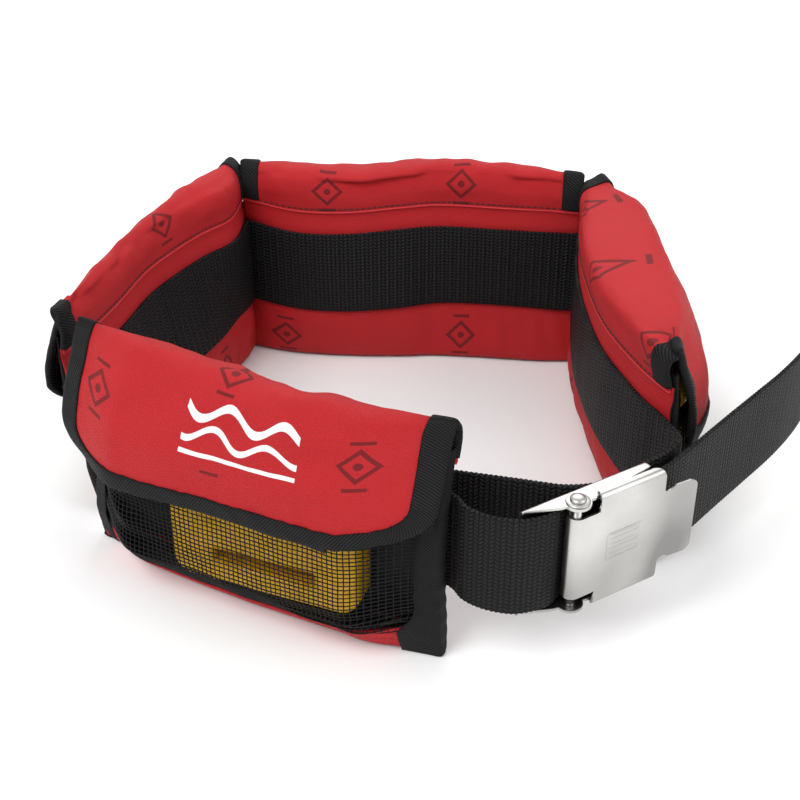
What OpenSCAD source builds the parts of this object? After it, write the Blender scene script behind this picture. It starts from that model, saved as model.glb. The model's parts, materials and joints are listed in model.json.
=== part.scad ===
// Pocket weight belt: four closed pockets on a ring of 50 mm webbing,
// held shut by a cam-lever buckle. The belt stands on its lower edges.
// +Z is up, the buckle and the front pocket face -Y.

/* [Pocket] */
// Length of one pocket, end to end
pocket_len = 182; // [178:1:184]
// Height of one pocket
pocket_h = 120; // [116:1:124]
// Depth of a full pocket from the webbing to the front of the flap
pocket_depth = 36; // [36:0.5:38]
// Depth of a pocket at its pinched ends
end_depth = 10; // [9:0.5:12]
// Half length of the straight, full part of a pocket
knee_x = 70; // [70:1:74]
// Thickness of the red fabric
fabric_t = 1.8; // [1.5:0.1:1.9]
// Width of the woven edge binding
binding_w = 9; // [8:0.5:10]

/* [Flap] */
// Height of the flap's lower edge above the ground
flap_low = 57; // [54:1:60]
// Radius of the flap's lower corners
flap_r = 20; // [16:1:24]

/* [Webbing] */
// Width of the webbing
web_w = 50; // [48:1:50]
// Thickness of the webbing
web_t = 2; // [1.8:0.1:2]
// Height of the lower edge of the webbing above the ground
web_low = 35; // [34:1:37]
// Clearance of the webbing from each fold line
fold_gap = 1.2; // [1.2:0.1:2]

/* [Weight] */
// Length of one coated weight
weight_len = 90; // [86:1:90]
// Height of one coated weight
weight_h = 60; // [56:1:62]
// Thickness of one coated weight
weight_t = 18; // [16:1:18]
// How far the front weight lies from the middle of its pocket
front_weight_x = 13; // [8:1:14]
// How far the front weight is turned in its pocket
front_weight_turn = 5; // [0:1:5]

/* [Buckle] */
// Angle of the buckle about the vertical axis
buckle_angle = 32; // [31:1:33]
// Half width of the base between the outer faces of its flanges
base_half = 27.3; // [27.3:0.1:28]
// Thickness of the steel sheet
steel_t = 1.2; // [1:0.1:1.2]
// Radius of the pivot pin
pin_r = 2; // [1.8:0.1:2]
// Distance from the pivot to the end of the lever's tab
lever_len = 61; // [59:1:64]

/* [Hidden] */
$fn = 48;
// Fold lines of the ring seen from above, where one body turns on the next.
fold_front_left = [-187, -53];
fold_front_right = [-13, -140];
fold_right_front = [86, -88];
fold_back_right = [66, 103];
fold_back_left = [-124, 123];
buckle_pivot = [36.8, -150];
// Middle of the belt's outline in the same plan, which is the origin.
middle = [-14.32, -1.94];
// Fold at each pocket's start and end, going round with the body on the left.
FRONT = [fold_front_left, fold_front_right];
RIGHT = [fold_right_front, fold_back_right];
BACK = [fold_back_right, fold_back_left];
LEFT = [fold_back_left, fold_front_left];

half_len = pocket_len / 2;
skin_t = 2;
cover_top = pocket_h - 0.5;
mesh_y = pocket_depth - 5;
mesh_t = 0.9;
front_shift = 4;
mouth_z = 72;
mouth_h = 6;
strip_h = 10;
slope_z = 20;
fastener_z = 60;
fastener_h = 11;
fastener_len = 100;
fastener_t = 1.2;
weight_low = 18;
weight_r = 9;
slot_len = 50;
slot_h = 8;
bore_clear = 0.05;
base_y = 6.8;
flange_in = base_half - steel_t;
lever_in = base_half + 0.2;
lever_half = lever_in + steel_t;
lever_y = 4.4;
curl_half = 21;
ear_z = flange_in - 0.2 - steel_t;
strap_end_x = 43;
base_end_x = 41;
// Bar and slots of the base that the fixed strap weaves through.
slot_a = [15, 24];
slot_b = [29, 38];
// Middle line of the strap that runs from the front pocket over the base.
running_path = [[-38, 31.4], [-39.2, 24.5], [-36.5, 17.5], [-31.5, 10.8], [-24.6, 5.3], [-16, 2.6],
    [-9.5, 2.4], [-4.6, 4.3], [0, 5.6], [10, 5.3], [18, 3.2], [26, 2.4], [36, 2.5], [strap_end_x, 2.5]];
// Middle line of its free end, which curves back past the right pocket.
free_path = [[strap_end_x + 0.2, 2.5], [46.5, 2.5], [56, 4.4], [75, 10], [96, 16.5], [121, 24], [147, 32],
    [172, 42], [196, 55], [216, 69]];
// Middle line of the strap from the right pocket, through the base to its tail.
fixed_path = [[73.2, 23.6], [69.5, 17.5], [62, 12.2], [52, 10.1], [44, 9.9], [39, 9.9], [28.8, 5.2], [24.2, 5.2],
    [14, 9.9], [9, 11.8], [2, 16.6], [-5, 24], [-14, 33], [-25, 44], [-36, 55], [-46, 64.5]];

red = "crimson";
black = [0.09, 0.09, 0.1];
steel = [0.8, 0.8, 0.8];
yellow = "gold";

// ---- placing ----

// The folds at the two ends of a pocket.
function folds(name) = name == "front" ? FRONT : name == "left" ? LEFT : name == "back" ? BACK : RIGHT;
function pitch(name) = norm(folds(name)[1] - folds(name)[0]);
function heading(name) = let (d = folds(name)[1] - folds(name)[0]) atan2(d[1], d[0]);

// Pocket frame: X along the pocket, -Y away from the body, Y = 0 in the webbing.
// The front pocket is sewn on a little further along its webbing.
module at_pocket(name) {
    translate([folds(name)[0][0] - middle[0], folds(name)[0][1] - middle[1], 0])
        rotate([0, 0, heading(name)])
            translate([pitch(name) / 2 + (name == "front" ? front_shift : 0), 0, 0]) children();
}

// Buckle frame: X along the lever, -Y away from the body, pivot on the Z axis.
module at_buckle() {
    translate([buckle_pivot[0] - middle[0], buckle_pivot[1] - middle[1], web_low + web_w / 2])
        rotate([0, 0, buckle_angle]) children();
}

// ---- outlines ----

// Plan of a pocket: straight in the middle, pinched towards both ends. It can run over the ends by
// the length over, along the same slopes.
module plan_outline(depth, tip_depth, half, over = 0) {
    tip = tip_depth - over * (depth - tip_depth) / (half - knee_x);
    x = half + over;
    polygon([[-x, 0], [x, 0], [x, -tip], [knee_x, -depth], [-knee_x, -depth], [-x, -tip]]);
}

// Body of a pocket, which tapers to half its depth from slope_z down to the ground.
module pocket_body(over = 0) {
    half = half_len - 4;
    hull() {
        linear_extrude(0.01) plan_outline(mesh_y / 2, end_depth / 2, half, over);
        translate([0, 0, slope_z]) linear_extrude(0.01) plan_outline(mesh_y, end_depth, half, over);
    }
    translate([0, 0, slope_z]) linear_extrude(mouth_z + mouth_h - slope_z)
        plan_outline(mesh_y, end_depth, half, over);
}

// Wall of thickness t, set inset back from the front of a pocket's body, between two heights.
module front_wall(inset, t, z0, z1) {
    intersection() {
        difference() {
            translate([0, inset, 0]) pocket_body();
            translate([0, inset + t, 0]) pocket_body(1);
        }
        translate([-half_len, -pocket_depth, z0]) cube([pocket_len, pocket_depth, z1 - z0]);
    }
}

module rounded_rect(x, y, r) {
    square([2 * x - 2 * r, 2 * y], center = true);
    square([2 * x, 2 * y - 2 * r], center = true);
    for (sx = [-1, 1], sy = [-1, 1]) translate([sx * (x - r), sy * (y - r)]) circle(r);
}

// Catmull-Rom curve through the points p, n steps for each stretch.
function curve_at(p, i, t) = let (a = p[max(i - 1, 0)], b = p[i], c = p[i + 1], d = p[min(i + 2, len(p) - 1)])
    0.5 * (2 * b + (c - a) * t + (2 * a - 5 * b + 4 * c - d) * t * t + (3 * b - a - 3 * c + d) * t * t * t);
function curve(p, n) = concat(
    [for (i = [0 : len(p) - 2], k = [0 : n - 1]) curve_at(p, i, k / n)], [p[len(p) - 1]]);
function side(p, i) = let (d = p[min(i + 1, len(p) - 1)] - p[max(i - 1, 0)]) [-d[1], d[0]] / norm(d);

// Upright webbing along a middle line.
module strap(path) {
    p = curve(path, 3);
    half_t = web_t / 2;
    translate([0, 0, -web_w / 2]) linear_extrude(web_w) polygon(concat(
        [for (i = [0 : len(p) - 1]) p[i] + half_t * side(p, i)],
        [for (i = [len(p) - 1 : -1 : 0]) p[i] - half_t * side(p, i)]));
}

// ---- pocket pieces ----

module back_panel() {
    color(red) translate([-half_len + 4, -1.3 - fabric_t, skin_t])
        cube([pocket_len - 8, fabric_t, pocket_h - 4 - skin_t]);
}

// Tray of red fabric: the bottom and the narrow strip below the mesh.
module bottom_panel() {
    color(red) translate([0, -1.3, 0]) {
        intersection() {
            pocket_body();
            translate([-half_len, -pocket_depth, 0]) cube([pocket_len, pocket_depth, skin_t - 0.2]);
        }
        front_wall(0, 1, skin_t - 0.2, strip_h);
    }
}

module mesh_window() {
    color(black) translate([0, -1.3, 0]) front_wall(1.05, mesh_t, skin_t, mouth_z);
}

module mouth_binding() {
    color(black) translate([0, -1.3, 0]) front_wall(0.6, 1.8, mouth_z, mouth_z + mouth_h);
}

// Woven binding that closes one end of the pocket; dir is -1 or 1.
module end_binding(dir) {
    color(black) translate([dir * (half_len - 2.2), -1.3 - end_depth / 2, (pocket_h - 5) / 2])
        cube([3.4, end_depth, pocket_h - 5], center = true);
}

// Half of the hook-and-loop fastener; y is its face nearer the body.
module fastener(y) {
    color(black) translate([-fastener_len / 2, y - fastener_t, fastener_z])
        cube([fastener_len, fastener_t, fastener_h]);
}

module loop_strip() {
    fastener(-mesh_y - 0.35);
}

module hook_strip() {
    fastener(skin_t - pocket_depth + fastener_t);
}

// Solid inside the surface of the flap, inset by t on the front and the top.
module flap_body(t) {
    x = half_len + t;
    low = flap_low - t;
    intersection() {
        translate([0, 0.6 + t, 0]) linear_extrude(cover_top - t)
            plan_outline(pocket_depth + 0.6, end_depth + 8, half_len, t);
        rotate([90, 0, 90]) translate([0, 0, -x]) linear_extrude(2 * x) polygon([
            [0.6 + t, low], [0.6 + t, cover_top - t], [-14 + t / 2, cover_top - t],
            [-21 + t, cover_top - 5.5 - t / 2], [t - pocket_depth, 84 - t / 3], [t - pocket_depth, low]]);
    }
}

module flap_shell() {
    difference() {
        flap_body(0);
        flap_body(skin_t);
    }
}

// Front view of the flap, or of its red part inside the binding; the sides run up to the hinge.
module flap_view(inset) {
    r = flap_r - inset;
    rotate([90, 0, 0]) translate([0, 0, -5]) linear_extrude(pocket_depth + 10)
        translate([0, flap_low + inset + 60]) rounded_rect(half_len - inset, 60, r);
}

module flap() {
    color(red) intersection() {
        flap_shell();
        flap_view(binding_w);
    }
}

module flap_binding() {
    color(black) difference() {
        intersection() {
            flap_shell();
            flap_view(0);
        }
        flap_view(binding_w);
    }
}

// Coated lead block with two slots for a strap, its middle at x and y, turned by turn.
module weight(x, y, turn) {
    color(yellow) translate([x, y, weight_low + weight_h / 2]) rotate([0, 0, turn]) rotate([90, 0, 0])
        linear_extrude(weight_t, center = true) difference() {
            rounded_rect(weight_len / 2, weight_h / 2, weight_r);
            for (dir = [-1, 1]) translate([0, dir * 15])
                rounded_rect(slot_len / 2, slot_h / 2, slot_h / 2 - 0.5);
        }
}

module pocket_webbing(name) {
    len = pitch(name) - 2 * fold_gap;
    shift = name == "front" ? front_shift : 0;
    color(black) translate([-len / 2 - shift, -web_t / 2, web_low]) cube([len, web_t, web_w]);
}

// ---- buckle ----

module running_strap() {
    color(black) at_buckle() strap(running_path);
}

module strap_free_end() {
    color(black) at_buckle() strap(free_path);
}

module fixed_strap() {
    color(black) at_buckle() strap(fixed_path);
}

// Side view of one flange, with an ear round the pivot.
module flange_outline() {
    polygon([[-23.5, base_y - 0.4], [-8, 0], [8, -2], [base_end_x, 3.6], [base_end_x, base_y + steel_t],
        [-23.5, base_y + steel_t]]);
    circle(5.8);
}

module buckle_base() {
    color(steel) at_buckle() {
        difference() {
            translate([-23.5, base_y, -base_half]) cube([base_end_x + 23.5, steel_t, 2 * base_half]);
            for (s = [slot_a, slot_b])
                translate([s[0], base_y - 1, -web_w / 2 - 0.8]) cube([s[1] - s[0], steel_t + 2, web_w + 1.6]);
        }
        for (dir = [-1, 1])
            translate([0, 0, dir > 0 ? flange_in : -base_half]) linear_extrude(steel_t) difference() {
                flange_outline();
                circle(pin_r + bore_clear);
            }
    }
}

// Front of the lever: plate, scooped corners and narrower tab.
module lever_outline() {
    difference() {
        union() {
            translate([9, -lever_half]) square([29, 2 * lever_half]);
            translate([35, 0]) rounded_rect(8, lever_half, 4);
            translate([47, 0]) rounded_rect(lever_len - 47, 19, 4);
        }
        for (dir = [-1, 1]) translate([46, dir * 22]) circle(4.5);
    }
    translate([0, -ear_z - steel_t]) square([10, 2 * (ear_z + steel_t)]);
}

module buckle_lever() {
    color(steel) at_buckle() {
        // plate
        translate([0, steel_t - lever_y, 0]) rotate([90, 0, 0]) linear_extrude(steel_t) lever_outline();
        for (dir = [-1, 1]) {
            // short side flanges outside the base
            translate([9, -lever_y + 0.1, dir > 0 ? lever_in : -lever_half]) cube([30, 4.6, steel_t]);
            // ears on the pin, inside the base
            translate([0, 0, dir > 0 ? ear_z : -ear_z - steel_t]) linear_extrude(steel_t) difference() {
                circle(lever_y);
                circle(pin_r + bore_clear);
            }
        }
        // cam: the plate's end curls round the pin
        translate([0, 0, -curl_half]) rotate([0, 0, 90]) rotate_extrude(angle = 180)
            translate([lever_y - steel_t, 0]) square([steel_t, 2 * curl_half]);
    }
}

// Rivet through flanges and ears, with a head at each end.
module pivot_pin() {
    color(steel) at_buckle() {
        cylinder(r = pin_r, h = 2 * (base_half + 2.4), center = true);
        for (dir = [-1, 1]) translate([0, 0, dir * (base_half + 1.7)])
            cylinder(r = 3.4, h = 1.4, center = true);
    }
}

module pivot_washers() {
    color(steel) at_buckle() for (dir = [-1, 1])
        translate([0, 0, dir * (base_half + 0.5)]) difference() {
            cylinder(r = 5, h = 0.8, center = true);
            cylinder(r = pin_r + bore_clear, h = 2, center = true);
        }
}

at_pocket("front") back_panel();  // front_back_panel
at_pocket("front") bottom_panel();  // front_bottom_panel
at_pocket("front") mesh_window();  // front_mesh_window
at_pocket("front") mouth_binding();  // front_mouth_binding
at_pocket("front") end_binding(-1);  // front_end_binding_a
at_pocket("front") end_binding(1);  // front_end_binding_b
at_pocket("front") loop_strip();  // front_loop_strip
at_pocket("front") hook_strip();  // front_hook_strip
at_pocket("front") flap();  // front_flap
at_pocket("front") flap_binding();  // front_flap_binding
at_pocket("front") weight(front_weight_x, -16.5, front_weight_turn);  // front_weight
at_pocket("front") pocket_webbing("front");  // front_webbing
at_pocket("left") back_panel();  // left_back_panel
at_pocket("left") bottom_panel();  // left_bottom_panel
at_pocket("left") mesh_window();  // left_mesh_window
at_pocket("left") mouth_binding();  // left_mouth_binding
at_pocket("left") end_binding(-1);  // left_end_binding_a
at_pocket("left") end_binding(1);  // left_end_binding_b
at_pocket("left") loop_strip();  // left_loop_strip
at_pocket("left") hook_strip();  // left_hook_strip
at_pocket("left") flap();  // left_flap
at_pocket("left") flap_binding();  // left_flap_binding
at_pocket("left") weight(0, -14.5, 0);  // left_weight
at_pocket("left") pocket_webbing("left");  // left_webbing
at_pocket("back") back_panel();  // back_back_panel
at_pocket("back") bottom_panel();  // back_bottom_panel
at_pocket("back") mesh_window();  // back_mesh_window
at_pocket("back") mouth_binding();  // back_mouth_binding
at_pocket("back") end_binding(-1);  // back_end_binding_a
at_pocket("back") end_binding(1);  // back_end_binding_b
at_pocket("back") loop_strip();  // back_loop_strip
at_pocket("back") hook_strip();  // back_hook_strip
at_pocket("back") flap();  // back_flap
at_pocket("back") flap_binding();  // back_flap_binding
at_pocket("back") weight(0, -14.5, 0);  // back_weight
at_pocket("back") pocket_webbing("back");  // back_webbing
at_pocket("right") back_panel();  // right_back_panel
at_pocket("right") bottom_panel();  // right_bottom_panel
at_pocket("right") mesh_window();  // right_mesh_window
at_pocket("right") mouth_binding();  // right_mouth_binding
at_pocket("right") end_binding(-1);  // right_end_binding_a
at_pocket("right") end_binding(1);  // right_end_binding_b
at_pocket("right") loop_strip();  // right_loop_strip
at_pocket("right") hook_strip();  // right_hook_strip
at_pocket("right") flap();  // right_flap
at_pocket("right") flap_binding();  // right_flap_binding
at_pocket("right") weight(0, -14.5, 0);  // right_weight
at_pocket("right") pocket_webbing("right");  // right_webbing
running_strap();
strap_free_end();
fixed_strap();
buckle_base();
buckle_lever();
pivot_pin();
pivot_washers();
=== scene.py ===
import json
import math

import bpy
import numpy as np
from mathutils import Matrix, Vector


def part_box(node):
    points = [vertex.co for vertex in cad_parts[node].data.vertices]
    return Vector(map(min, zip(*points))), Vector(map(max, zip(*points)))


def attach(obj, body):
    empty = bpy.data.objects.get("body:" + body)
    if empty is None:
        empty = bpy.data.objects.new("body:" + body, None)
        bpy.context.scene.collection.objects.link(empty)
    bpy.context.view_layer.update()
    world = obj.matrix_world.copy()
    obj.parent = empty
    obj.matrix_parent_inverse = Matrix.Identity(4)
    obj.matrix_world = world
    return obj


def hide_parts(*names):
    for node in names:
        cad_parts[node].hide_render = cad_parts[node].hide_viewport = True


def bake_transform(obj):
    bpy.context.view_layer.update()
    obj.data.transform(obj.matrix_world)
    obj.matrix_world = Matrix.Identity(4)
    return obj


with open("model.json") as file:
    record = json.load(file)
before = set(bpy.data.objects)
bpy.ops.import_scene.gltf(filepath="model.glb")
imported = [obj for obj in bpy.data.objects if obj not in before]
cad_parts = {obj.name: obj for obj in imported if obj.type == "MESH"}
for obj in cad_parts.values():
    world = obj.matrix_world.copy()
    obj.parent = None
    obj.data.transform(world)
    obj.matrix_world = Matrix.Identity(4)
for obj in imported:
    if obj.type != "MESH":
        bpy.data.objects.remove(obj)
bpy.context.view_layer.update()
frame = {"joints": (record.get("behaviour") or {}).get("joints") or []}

# ---- sizes, in metres
MM = 0.001
POCKETS = ("front", "left", "back", "right")
JOINTS = {j["name"]: j for j in frame["joints"]}
HALF = 90.5 * MM          # half length of a pocket's flap
PANEL_HALF = 88.0 * MM    # half length of the net and the bottom inside the end bindings
# Half length of each back panel
BACK_HALF = {"front": 88.4 * MM, "left": 91 * MM, "back": 91 * MM, "right": 91 * MM}
WEB_LOW = 35.0 * MM       # lower and upper edge of the webbing, and its thickness
WEB_HIGH = 85.0 * MM
WEB_T = 2.0 * MM
TOP_Z = 118.0 * MM        # fold of the flap
FLAP_Z = 57.5 * MM        # lower edge of the flap
FABRIC_T = 1.3 * MM
LINING_T = 0.3 * MM
CORNER_R = 20.0 * MM      # lower corners of the flap
EDGE_STEP = 1.3 * MM      # distance of points along the flap's edge
MOUTH_Z = 72.0 * MM       # upper edge of the net
MESH_PITCH = 2.35 * MM
STRAND = 0.85 * MM
STITCH_PITCH = 3.1 * MM
BLOCK_SIZE = np.array([90.0, 60.0, 18.0]) * MM
BLOCK_EDGE = 3.2 * MM     # how far the coat rounds a block's edges
WEIGHT_TURN = {"front": 5.0}    # how far a weight is turned about the upright, in degrees
BUCKLE_ANGLE = math.radians(32.0)
UP = np.array([0.0, 0.0, 1.0])

STRAIGHT = ((-91, 0), (91, 0))
# How the webbing lies towards the body from the line of its folds: (along, lower edge, upper edge) in mm.
WEB_LINE = {
    "front": ((-97, 0, 0), (-50, 1, 1), (0, 2, 2), (50, 1, 1), (97, 0, 0)),
    "left": ((-97, 2, 2), (-79, 8, 7), (-60, 8, 10), (-40, 9.5, 3), (-14, 8, -2), (10, 4.5, -4),
             (46, 2, -1), (97, 0, 0)),
    "back": ((-97, 1, 2), (-86, 4, 5.5), (-50, 1.5, 5), (-17, 2.5, 4.3), (5, 11, 10.4), (33, 18, 19.5),
             (60, 18, 20.5), (80, 11, 11.5), (97, 1, 1)),
    "right": ((-97, 1, 1), (-83, 7, 7), (-65, 12, 12), (-29, 17, 18), (16, 16.5, 17), (54, 11, 11.7),
              (80, 5, 5), (97, 1, 1)),
}
# How far the top of the pocket's outer side follows the webbing's line.
TOP_FOLLOW = {"front": 0.3, "left": 0.2, "back": 0.75, "right": 0.15}
# Where the ridge of the pocket's top lies behind the webbing's plane, in mm, and how full the top is.
RIDGE = {"front": -9, "left": -8, "back": -8, "right": -15}
TOP_FILL = {"front": 1.0, "left": 0.7, "back": 1.0, "right": 1.0}
# How much shallower the outer side is along the pocket, in mm.
TRIM = {
    "front": STRAIGHT,
    "left": ((-91, 0), (30, 0), (70, 3.5), (91, 4)),
    "back": STRAIGHT,
    "right": ((-91, 7), (-60, 5.5), (-30, 0), (0, -2.5), (40, -3.5), (70, -2), (91, -1)),
}
# How far the top of a pocket leans towards the body: (along, lean) in mm.
LEAN = {
    "front": ((-91, 10), (-83, 9), (-61, 6.5), (-27, 2.5), (0, 0), (25, -1.5), (48, 0), (68, 5),
              (82, 8), (91, 10)),
    "left": STRAIGHT,
    "back": ((-91, 5), (-76, 1), (-40, 0), (60, 0), (82, 3), (91, 5)),
    "right": ((-91, 2), (91, 2)),
}
# Height along the pocket of the flap's lower edge and of the red strip below the net, in mm.
FLAP_LOW = {"front": ((-91, 62), (-70, 60), (-45, 61), (0, 64), (37, 65), (61, 67), (81, 70), (91, 71))}
LEVEL_LOW = ((-91, 57), (91, 57))
STRIP = {"front": ((-88, 15), (-60, 10), (-20, 7.5), (20, 8), (55, 12), (88, 19))}
LEVEL_STRIP = ((-88, 9), (-50, 5), (50, 5), (88, 9))
# Share of the pocket's depth that is left at the ground.
FOOT = {"front": ((-91, 0.32), (-74, 0.4), (-53, 0.4), (-29, 0.45), (0, 0.48), (25, 0.46), (50, 0.43),
                  (74, 0.56), (91, 0.8))}
LEVEL_FOOT = ((-91, 0.5), (91, 0.5))
# Where the foot of the back panel lies, towards the body, in mm.
HEEL = {"front": 0.0, "left": 4.0, "back": 5.0, "right": 3.0}
# How far a pocket's start and end are drawn out towards the folds, in mm.
END_REACH = {"front": (2.5, 2.4), "left": (2.9, 1.0), "back": (3.4, 3.4), "right": (1.0, 3.8)}
# How far a pocket's start and end are tucked in, by height, in mm.
FRONT_START = ((0, 2), (20, 5), (42, 8), (54, 7), (68, 0))
LEFT_END = ((0, 9), (20, 10), (42, 11), (60, 9), (76, 0))
TUCK = {"front": (FRONT_START, STRAIGHT), "left": (STRAIGHT, LEFT_END),
        "back": (STRAIGHT, STRAIGHT), "right": (STRAIGHT, STRAIGHT)}
# First random seed of each pocket's ripples.
SEEDS = {"front": 3, "left": 5, "back": 8, "right": 13}


# ---- small maths
def smooth(t):
    t = np.clip(t, 0.0, 1.0)
    return t * t * (3.0 - 2.0 * t)


def ripple(a, b, scale, seed, waves=7):
    """Smooth field of about -1 to 1 over the plane (a, b), made of plane waves near one length."""
    rng = np.random.RandomState(seed)
    out = np.zeros(np.broadcast(a, b).shape)
    for _ in range(waves):
        angle = rng.uniform(0, math.pi)
        phase = rng.uniform(0, 2 * math.pi)
        k = 2 * math.pi / (scale * rng.uniform(0.7, 1.5))
        out += np.sin(k * (a * math.cos(angle) + b * math.sin(angle)) + phase)
    return out / math.sqrt(waves * 2.0)


def catmull(points, steps):
    """Smooth curve through the points, steps samples for each stretch."""
    p = np.asarray(points, float)
    out = []
    for i in range(len(p) - 1):
        a, b, c, d = p[max(i - 1, 0)], p[i], p[i + 1], p[min(i + 2, len(p) - 1)]
        for t in np.arange(steps) / steps:
            out.append(0.5 * (2 * b + (c - a) * t + (2 * a - 5 * b + 4 * c - d) * t ** 2
                              + (3 * b - a - 3 * c + d) * t ** 3))
    out.append(p[-1])
    return np.array(out)


def table(values, x):
    """Value of a table in mm at x, a length in metres."""
    t = np.array(values, float)
    return np.interp(x / MM, t[:, 0], t[:, 1])


def arc_lengths(p):
    """Distance of each point of a polyline from its start."""
    return np.concatenate([[0.0], np.cumsum(np.linalg.norm(np.diff(p, axis=0), axis=1))])


def directions(p):
    """Unit direction of a polyline at each of its points."""
    t = np.gradient(p, axis=0)
    return t / np.linalg.norm(t, axis=1, keepdims=True)


def resample(p, step):
    """Points at an even distance near step along a polyline."""
    s = arc_lengths(p)
    n = max(2, int(round(s[-1] / step)) + 1)
    at = np.linspace(0, s[-1], n)
    return np.stack([np.interp(at, s, p[:, k]) for k in range(p.shape[1])], 1)


# ---- frames of the pockets and the buckle
def pocket_frame(name):
    """Local frame of a pocket: X along it, Y towards the body with 0 in the webbing, Z = 0 on the ground.

    The last item is how far its two ends are drawn out, so that neighbours meet at the folds."""
    joint = JOINTS[f"{name}_flap_hinge"]
    u = -np.array(joint["axis"], float)
    w = np.array([-u[1], u[0], 0.0])
    origin = np.array([joint["pos_m"][0], joint["pos_m"][1], 0.0])
    return origin, u, w, END_REACH[name] + TUCK[name]


def buckle_frame():
    """Local frame of the buckle: X along the lever, Y towards the body, Z up with 0 at the pivot's middle."""
    u = np.array([math.cos(BUCKLE_ANGLE), math.sin(BUCKLE_ANGLE), 0.0])
    w = np.array([-u[1], u[0], 0.0])
    return np.array(JOINTS["lever_hinge"]["pos_m"], float), u, w, (0.0, 0.0, STRAIGHT, STRAIGHT)


def place(pose, p):
    """Local points in the row frame, the pocket's ends drawn out and tucked in."""
    origin, u, w, ends = pose
    p = np.asarray(p, float)
    x = p[..., 0:1]
    start = table(ends[2], p[..., 2:3]) - ends[0]
    end = ends[1] - table(ends[3], p[..., 2:3])
    x = x + MM * np.where(x < 0, start, end) * smooth((np.abs(x) / MM - 58.0) / 33.0)
    return origin + x * u + p[..., 1:2] * w + p[..., 2:3] * UP


# ---- meshes
def finished_object(name, mesh, uvs, smooth_faces=True):
    """Object of a mesh; uvs holds a pair for each point."""
    layer = mesh.uv_layers.new(name="UVMap")
    loops = np.zeros(len(mesh.loops), np.int32)
    mesh.loops.foreach_get("vertex_index", loops)
    layer.data.foreach_set("uv", np.asarray(uvs, np.float32)[loops].ravel())
    mesh.polygons.foreach_set("use_smooth", [smooth_faces] * len(mesh.polygons))
    mesh.update()
    obj = bpy.data.objects.new(name, mesh)
    bpy.context.scene.collection.objects.link(obj)
    return obj


def mesh_object(name, points, faces, uvs, smooth_faces=True):
    mesh = bpy.data.meshes.new(name)
    mesh.from_pydata(np.asarray(points, float).tolist(), [], faces)
    return finished_object(name, mesh, uvs, smooth_faces)


def grid_faces(rows, cols, close=False):
    """Quads of a grid of points, row by row; close joins the last column to the first."""
    r, c = np.meshgrid(np.arange(rows - 1), np.arange(cols if close else cols - 1), indexing="ij")
    n = (c + 1) % cols
    return np.stack([r * cols + c, r * cols + n, (r + 1) * cols + n, (r + 1) * cols + c], -1).reshape(-1, 4)


def sheet_object(name, points, uvs, outward, thick=FABRIC_T, offset=-1.0, keep=None):
    """Cloth over a grid of points (rows, cols, 3), its face turned along outward, with a real thickness."""
    rows, cols = points.shape[:2]
    faces = grid_faces(rows, cols)
    i, j = rows // 2, cols // 2
    a = points[i + 1, j] - points[i, j]
    b = points[i, j + 1] - points[i, j]
    if np.dot(np.cross(b, a), outward) < 0:
        faces = faces[:, ::-1]
    if keep is not None:
        faces = faces[keep.reshape(-1)]
    obj = mesh_object(name, points.reshape(-1, 3), faces.tolist(), uvs.reshape(-1, 2))
    if thick:
        solid = obj.modifiers.new("thickness", "SOLIDIFY")
        solid.thickness = thick
        solid.offset = offset
    return obj


def swept_object(name, rings, uvs, flip=False):
    """Closed tube through rings of points (count, ring, 3)."""
    count, ring = rings.shape[:2]
    faces = grid_faces(count, ring, close=True)
    first = list(range(ring))
    last = list(range((count - 1) * ring, count * ring))
    if flip:
        faces = faces[:, ::-1].tolist() + [first, last[::-1]]
    else:
        faces = faces.tolist() + [first[::-1], last]
    return mesh_object(name, rings.reshape(-1, 3), faces, uvs.reshape(-1, 2))


def tube_uvs(along, across):
    """Flat coordinates of a tube: along it, and round its section."""
    return np.stack(np.broadcast_arrays(along[:, None], across[None, :]), -1)


def finish_piece(obj, material, body=None, nodes=()):
    """Gives a piece its material, the body it rides on and the CAD nodes it stands for."""
    obj.data.materials.clear()
    obj.data.materials.append(material)
    if nodes:
        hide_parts(*nodes)
    if body:
        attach(obj, body)
    return obj


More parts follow.
